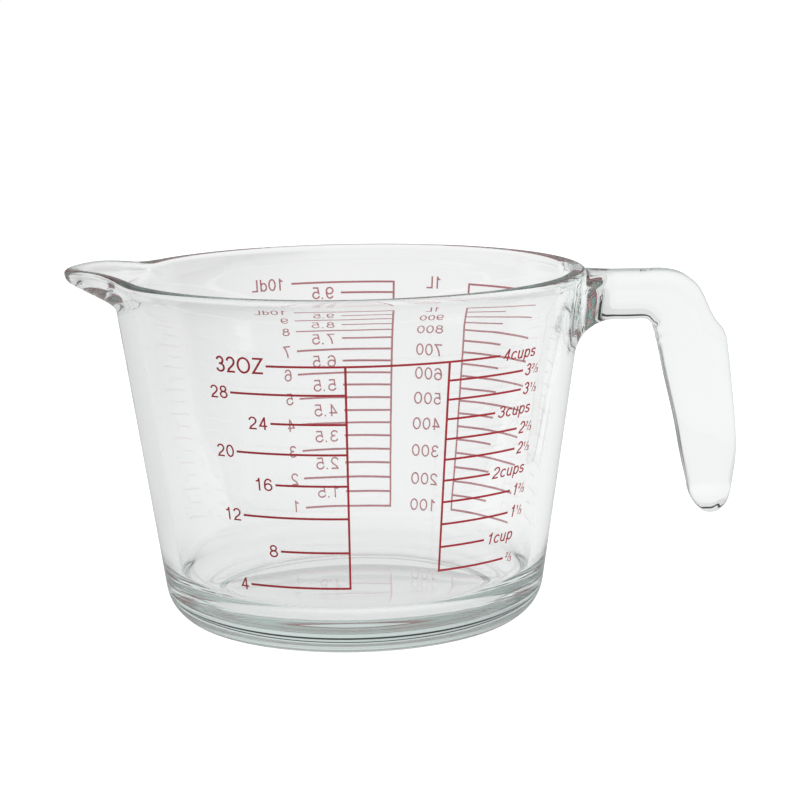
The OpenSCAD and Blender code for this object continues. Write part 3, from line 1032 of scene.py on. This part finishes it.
@dataclass
class FigurePrint:
    """Figures of one scale, wrapped onto the wall as thin prints."""

    name: str
    section: BowlSection
    figures: list[Figure]
    film: float = 0.17
    sunk: float = 0.02
    flat_radius: float = 67.0

    def build(self) -> bpy.types.Object:
        """Draws every figure, pen by pen, and joins them.

        Returns:
            The finished object, at the origin.
        """
        pens = sorted({(figure.drawn.size, figure.drawn.weight) for figure in self.figures})
        made = [self.one_pen(*pen) for pen in pens]
        take(made[0])
        for obj in made[1:]:
            obj.select_set(True)
        if len(made) > 1:
            bpy.ops.object.join()
        obj = bpy.context.active_object
        obj.name = self.name
        for vert in obj.data.vertices:
            x, z, depth = vert.co / MM
            radius = self.section.outer_r(z) - self.section.print_seat - self.sunk + depth
            angle = x / self.flat_radius
            vert.co = Vector((radius * math.cos(angle), radius * math.sin(angle), z)) * MM
        with editing(obj):
            bpy.ops.mesh.normals_make_consistent(inside=False)
        return obj

    def placed(self, figure: Figure) -> list[tuple[list[Point], bool]]:
        """Lays the strokes of one figure out on the wall, unrolled flat.

        Args:
            figure: What to print and where.

        Returns:
            Points of each stroke in millimetres, and whether it is closed.
        """
        size, slant = figure.drawn.size, figure.drawn.slant
        wide = size * figure.drawn.width * self.flat_radius / self.section.outer_r(figure.z)
        start = math.radians(figure.angle) * self.flat_radius
        cursor = -figure.align.value * Pen.measure(figure.text)
        laid = []
        for letter in figure.text:
            for stroke in Pen.strokes[letter]:
                points = []
                for x, y in stroke.points:
                    rise = y - Pen.middle
                    points.append((start + (cursor + x + slant * rise) * wide, figure.z + rise * size))
                laid.append((points, stroke.closed))
            cursor += Pen.step(letter)
        return laid

    def one_pen(self, size: float, weight: float) -> bpy.types.Object:
        """Draws the figures of one size and boldness as pen strokes, flat.

        Args:
            size: Height of a digit, in millimetres.
            weight: Boldness of the strokes, against the plain pen.

        Returns:
            The strokes, with the unrolled wall along X, the height along Y and the depth along Z.
        """
        curve = bpy.data.curves.new(self.name, "CURVE")
        curve.dimensions = "3D"
        for figure in (f for f in self.figures if (f.drawn.size, f.drawn.weight) == (size, weight)):
            for points, closed in self.placed(figure):
                spline = curve.splines.new("POLY")
                spline.points.add(len(points) - 1)
                spline.use_cyclic_u = closed
                for point, (x, y) in zip(spline.points, points):
                    point.co = (x * MM, y * MM, 0, 1)
        obj = bpy.data.objects.new(self.name, curve)
        bpy.context.scene.collection.objects.link(obj)
        take(obj)
        bpy.ops.object.convert(target="MESH")
        with editing(obj):
            bpy.ops.mesh.extrude_region_move(TRANSFORM_OT_translate={"value": (0, 0, self.film * MM)})
            bpy.ops.mesh.select_all(action="SELECT")
            bpy.ops.mesh.normals_make_consistent(inside=False)
        stroke = obj.modifiers.new("stroke", "SOLIDIFY")
        stroke.thickness = Pen.width * weight * size * MM
        stroke.offset = 0
        stroke.use_even_offset = True
        bpy.ops.object.modifier_apply(modifier=stroke.name)
        return obj


@dataclass
class Scales:
    """Where the lines of the four printed scales lie, and the figures that belong to them.

    Drops are in millimetres, and angles, sweeps and gaps in degrees about the axis, from the middle of the
    front or the back. On the back, the figures of half decilitres and of millilitres are a little wider
    below the steps that lie near the rim.
    """

    section: BowlSection
    front: float = -90.0
    back: float = 90.0
    four_cup_drop: float = 19.4
    litre_drop: float = 13.2
    ounce_angle: float = -1.3
    cup_angle: float = 23.5
    decilitre_angle: float = 12.4
    ounce_sweeps: Point = (28.7, 18.7)
    cup_sweeps: Point = (22.3, 14.1)
    metric_sweeps: Point = (28.6, 14.8)
    ounce_steps: int = 8
    ounces_a_step: int = 4
    cup_steps: int = 12
    steps_a_cup: int = 3
    lowest_third: int = 2
    decilitre_steps: int = 20
    lowest_half: int = 2
    millilitre_steps: int = 10
    ounce_gap: float = 0.4
    ounce_letters: Lettering = Lettering(3.9, width=1.08)
    unit_letters: Lettering = Lettering(4.9, width=0.94)
    cup_gap: float = 1.2
    cup_letters: Lettering = Lettering(3.6, width=1.11, slant=0.2)
    whole_letters: Lettering = Lettering(3.7, slant=0.2)
    third_letters: Lettering = Lettering(1.6, slant=0.2)
    slash_letters: Lettering = Lettering(2.8, slant=0.2, weight=0.45)
    whole_sweep: float = 2.4
    slash_sweep: float = 1.0
    under_sweep: float = 1.6
    third_rise: float = 0.75
    decilitre_gap: float = 2.0
    millilitre_middle: float = 23.9
    metric_letters: Lettering = Lettering(4.1, width=1.05)
    low_metric_letters: Lettering = Lettering(4.1, width=1.16)
    rim_decilitre_step: int = 18
    rim_millilitre_step: int = 9
    halvings: int = 60

    def volume_below(self, z: float) -> float:
        """Volume inside the bowl below a height on its straight wall.

        Args:
            z: The height.

        Returns:
            Volume in cubic millimetres.
        """
        s = self.section
        top_z = s.corner_z - s.corner_radius * s.lean / s.slope
        top_r = s.corner_r + s.corner_radius / s.slope
        rest = s.corner_z - top_z
        chord = math.sqrt(s.corner_radius**2 - rest**2)
        sector = (math.pi / 2 - math.asin(rest / s.corner_radius)) * s.corner_radius**2
        bottom = math.pi * (
            (s.corner_r**2 + s.corner_radius**2) * (s.corner_radius - rest)
            + s.corner_r * (sector - rest * chord)
            - (s.corner_radius**3 - rest**3) / 3
        )
        return bottom + math.pi / (3 * s.lean) * (s.inner_r(z) ** 3 - top_r**3)

    def line_height(self, share: float, drop: float) -> float:
        """Height of the line for a share of the volume below a full line.

        Args:
            share: Share of the full volume.
            drop: Drop from the rim to the full line.

        Returns:
            Height of the line.
        """
        full = self.section.bowl_height - drop
        target = share * self.volume_below(full)
        low, high = self.section.corner_z, full
        for _ in range(self.halvings):
            middle = (low + high) / 2
            low, high = (middle, high) if self.volume_below(middle) < target else (low, middle)
        return (low + high) / 2

    def ounce_figures(self) -> list[Figure]:
        """Figures of the ounce scale, at the left ends of its lines.

        Returns:
            The figures, from the lowest line up.
        """
        figures = []
        for i in range(1, self.ounce_steps + 1):
            end = self.ounce_angle - self.ounce_sweeps[(i + 1) % 2]
            z = self.line_height(i / self.ounce_steps, self.four_cup_drop)
            text, drawn = f"{self.ounces_a_step * i}", self.ounce_letters
            if i == self.ounce_steps:
                text, drawn = f"{text}OZ", self.unit_letters
            figures.append(Figure(text, end - self.ounce_gap + self.front, z, Align.RIGHT, drawn))
        return figures

    def cup_figures(self) -> list[Figure]:
        """Figures of the cup scale, at the right ends of its lines.

        Returns:
            The figures, from the lowest line up.
        """
        figures = []
        for i in range(self.lowest_third, self.cup_steps + 1):
            z = self.line_height(i / self.cup_steps, self.four_cup_drop)
            whole, third = divmod(i, self.steps_a_cup)
            start = self.cup_angle + self.cup_sweeps[third == 0] + self.cup_gap + self.front
            if third == 0:
                text = f"{whole}cup" if whole == 1 else f"{whole}cups"
                figures.append(Figure(text, start, z, Align.LEFT, self.cup_letters))
                continue
            if whole:
                figures.append(Figure(f"{whole}", start, z, Align.LEFT, self.whole_letters))
                start += self.whole_sweep
            over, under = z + self.third_rise, z - self.third_rise
            figures.append(Figure(f"{third}", start, over, Align.LEFT, self.third_letters))
            figures.append(Figure("/", start + self.slash_sweep, z, Align.LEFT, self.slash_letters))
            text = f"{self.steps_a_cup}"
            figures.append(Figure(text, start + self.under_sweep, under, Align.LEFT, self.third_letters))
        return figures

    def decilitre_figures(self) -> list[Figure]:
        """Figures of the decilitre scale, at the ends of its lines as read from behind.

        Returns:
            The figures, from the lowest line up.
        """
        figures = []
        for i in range(self.lowest_half, self.decilitre_steps + 1):
            z = self.line_height(i / self.decilitre_steps, self.litre_drop)
            end = self.decilitre_angle - self.metric_sweeps[i % 2]
            text = f"{i / 2:.1f}" if i % 2 else f"{i // 2}"
            if i == self.decilitre_steps:
                text += "dL"
            low = i % 2 and i < self.rim_decilitre_step
            drawn = self.low_metric_letters if low else self.metric_letters
            figures.append(Figure(text, self.back - end + self.decilitre_gap, z, Align.LEFT, drawn))
        return figures

    def millilitre_figures(self) -> list[Figure]:
        """Figures of the millilitre scale, between the two brackets on the back.

        Returns:
            The figures, from the lowest line up.
        """
        figures = []
        for i in range(1, self.millilitre_steps + 1):
            z = self.line_height(i / self.millilitre_steps, self.litre_drop)
            text = "1L" if i == self.millilitre_steps else f"{i}00"
            drawn = self.low_metric_letters if i < self.rim_millilitre_step else self.metric_letters
            figures.append(Figure(text, self.back - self.millilitre_middle, z, Align.CENTRE, drawn))
        return figures


@dataclass
class Studio:
    """Pale floor, light tent, lamp and camera.

    Floor spans are in metres, and the spans of the tent are heights and sides of a direction, from -1 to 1.
    A pair of levels gives the brightness at the start and at the end of such a span. Rays that a glossy
    surface throws back and rays that come through glass have levels of their own.
    """

    floor_half_width: float = 12.0
    floor_albedo: float = 0.25
    # Painted levels on the floor: a fixed level in glossy reflections, and for rays through glass a painted
    # shade that darkens it towards the front and the left.
    floor_mirrored: float = 0.25
    floor_through: Point = (0.3, 0.72)
    floor_front_shade_span: Point = (-0.4, -0.05)
    floor_left_shade_span: Point = (-0.2, 0.0)
    seen_level: float = 1.0
    tent_plain: float = 0.8
    tent_mirrored: Point = (0.3, 0.05)
    tent_through: Point = (0.82, 0.03)
    dark_to: Point = (0.5, 0.75)
    dark_side: Point = (0.1, 0.5)
    tent_left: Point = (-1.0, 0.4)
    left_level: float = 0.8
    strip_low: Point = (0.14, 0.17)
    strip_high: Point = (0.22, 0.25)
    strip_behind: Point = (0.3, 0.6)
    strip_level: float = 0.05
    lamp_place: Place = (0.7, -0.9, 1.0)
    lamp_aim: Place = (0.0, 0.0, 0.05)
    lamp_width: float = 0.9
    lamp_power: float = 14.0
    bounces: int = 128
    camera_distance: float = 787.6
    camera_elevation: float = 10.755
    camera_roll: float = 1.148
    focal_px: float = 2464.0
    frame_px: float = 800.0
    aim_height: float = 59.07
    aim_px: Point = (352.2, 431.23)
    sensor: float = 36.0

    def by_ray(self, shading: Shading, plain: Level, mirrored: Level, through: Level) -> Socket:
        """Adds nodes that give white to the camera and a level of its own to every other kind of ray.

        Args:
            shading: Nodes to add to.
            plain: Level for the light that falls on matt surfaces.
            mirrored: Level for rays that a glossy surface throws back.
            through: Level for rays that come through glass.

        Returns:
            The level for the ray at hand.
        """
        path = shading.add("LightPath")
        level = plain
        kinds = ((Ray.GLOSSY, mirrored), (Ray.TRANSMISSION, through), (Ray.CAMERA, self.seen_level))
        for kind, value in kinds:
            mix = shading.add("Mix", {"Factor": path.outputs[kind.value], "A": level, "B": value})
            level = mix.outputs["Result"]
        return level

    def build_floor(self) -> None:
        """Lays the pale floor, which keeps the jug's shadow."""
        deselect_all()
        bpy.ops.mesh.primitive_plane_add(size=2 * self.floor_half_width)
        floor = bpy.context.active_object
        floor.name = "floor"
        material = bpy.data.materials.new("pale_floor")
        shading = Shading(material)
        shading.nodes.remove(shading.nodes["Principled BSDF"])
        x, y, _ = shading.coordinates("Object")
        # Painted shade: seen through glass, the floor glows darker towards the front and the left.
        front = shading.fade(y, self.floor_front_shade_span, self.floor_through)
        through = shading.product(front, shading.fade(x, self.floor_left_shade_span, (self.left_level, 1.0)))
        # Painted reflection: in glossy reflections the floor glows at a fixed level of its own, and it is
        # white to the camera.
        level = self.by_ray(shading, 0.0, self.floor_mirrored, through)
        matt = shading.add("BsdfDiffuse", {"Color": (self.floor_albedo,) * 3 + (1,)})
        glow = shading.add("Emission", {"Strength": level})
        both = shading.add("AddShader", {0: matt.outputs[0], 1: glow.outputs[0]})
        shading.fill(shading.nodes["Material Output"], {"Surface": both.outputs[0]})
        floor.data.materials.append(material)

    def build_tent(self) -> None:
        """Sets the light tent.

        It is white behind and overhead and dark towards the camera. A narrow dark strip low down behind
        the jug gives the heel and the rim their dark lines.
        """
        world = bpy.data.worlds.new("light_tent")
        bpy.context.scene.world = world
        shading = Shading(world)
        fade = shading.fade
        x, y, z = shading.coordinates("Generated")
        dark = shading.product(fade(z, self.dark_to, FALLING), fade(y, self.dark_side, FALLING))
        side = fade(x, self.tent_left, (self.left_level, 1.0))
        low, high = fade(z, self.strip_low, RISING), fade(z, self.strip_high, FALLING)
        strip = shading.product(low, high, fade(y, self.strip_behind, RISING))
        lined = fade(strip, RISING, (1.0, self.strip_level))
        through = shading.product(fade(dark, RISING, self.tent_through), lined, side)
        mirrored = shading.product(fade(dark, RISING, self.tent_mirrored), side)
        level = self.by_ray(shading, self.tent_plain, mirrored, through)
        shading.fill(shading.nodes["Background"], {"Color": WHITE, "Strength": level})

    def build_lamp(self) -> None:
        """Hangs the soft lamp that lights the print."""
        deselect_all()
        bpy.ops.object.light_add(type="AREA", location=self.lamp_place)
        lamp = bpy.context.active_object
        lamp.name = "soft_key"
        lamp.data.shape = "RECTANGLE"
        lamp.data.size = lamp.data.size_y = self.lamp_width
        lamp.data.energy = self.lamp_power
        lamp.rotation_mode = "QUATERNION"
        lamp.rotation_quaternion = (Vector(self.lamp_aim) - lamp.location).to_track_quat("-Z", "Y")
        lamp.visible_transmission = lamp.visible_glossy = False

    def build_camera(self) -> None:
        """Sets the camera where the photo was taken from."""
        data = bpy.data.cameras.new("camera")
        camera = bpy.data.objects.new("camera", data)
        bpy.context.scene.collection.objects.link(camera)
        data.sensor_width = self.sensor
        data.lens = self.focal_px / self.frame_px * self.sensor
        elevation, roll = math.radians(self.camera_elevation), math.radians(self.camera_roll)
        off_x, off_y = self.aim_px[0] - self.frame_px / 2, self.aim_px[1] - self.frame_px / 2
        x = math.cos(roll) * off_x - math.sin(roll) * off_y
        y = math.sin(roll) * off_x + math.cos(roll) * off_y
        aim = Vector((0, 0, self.aim_height))
        away = Vector((0, -math.cos(elevation), math.sin(elevation)))
        camera.location = (aim + away * self.camera_distance) * MM
        level = (-away).to_track_quat("-Z", "Y").to_matrix()
        swing = Matrix.Rotation(math.atan2(x, self.focal_px), 3, "Y")
        tip = Matrix.Rotation(math.atan2(y, math.hypot(x, self.focal_px)), 3, "X")
        turn = Matrix.Rotation(-roll, 3, "Z")
        camera.rotation_mode = "QUATERNION"
        camera.rotation_quaternion = (level @ swing @ tip @ turn).to_quaternion()
        bpy.context.scene.camera = camera

    def set_view(self) -> None:
        """Sets the plain colour view and enough bounces for thick glass."""
        scene = bpy.context.scene
        scene.view_settings.view_transform = "Standard"
        scene.cycles.max_bounces = self.bounces
        scene.cycles.transmission_bounces = self.bounces
        scene.cycles.glossy_bounces = self.bounces


def main() -> None:
    """Builds the jug and its studio in order."""
    logging.basicConfig(level=logging.INFO, format="%(name)s: %(message)s")
    studio = Studio()
    studio.set_view()
    studio.build_camera()
    studio.build_tent()
    studio.build_floor()
    studio.build_lamp()
    glass, enamel = GlassFinish().build(), EnamelFinish().build()
    pressing = PressedGlass()
    body = pressing.build()
    body.data.materials.append(glass)
    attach(body, BODY)
    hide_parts("glass_bowl", "pouring_spout", "handle")
    LOG.info("%s: %d faces", body.name, len(body.data.polygons))
    scales = Scales(pressing.section)
    prints = {
        "ounce_figures": scales.ounce_figures(),
        "cup_figures": scales.cup_figures(),
        "decilitre_figures": scales.decilitre_figures(),
        "millilitre_figures": scales.millilitre_figures(),
    }
    for name, figures in prints.items():
        obj = FigurePrint(name, pressing.section, figures).build()
        obj.data.materials.clear()
        obj.data.materials.append(enamel)
        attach(obj, BODY)
        LOG.info("%s: %d faces", obj.name, len(obj.data.polygons))
    for name in ("ounce_scale", "cup_scale", "decilitre_scale", "millilitre_scale"):
        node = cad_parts[name]
        node.data.materials.clear()
        node.data.materials.append(enamel)
        LOG.info("%s: packed solid in enamel", name)


if __name__ == "__main__":
    main()
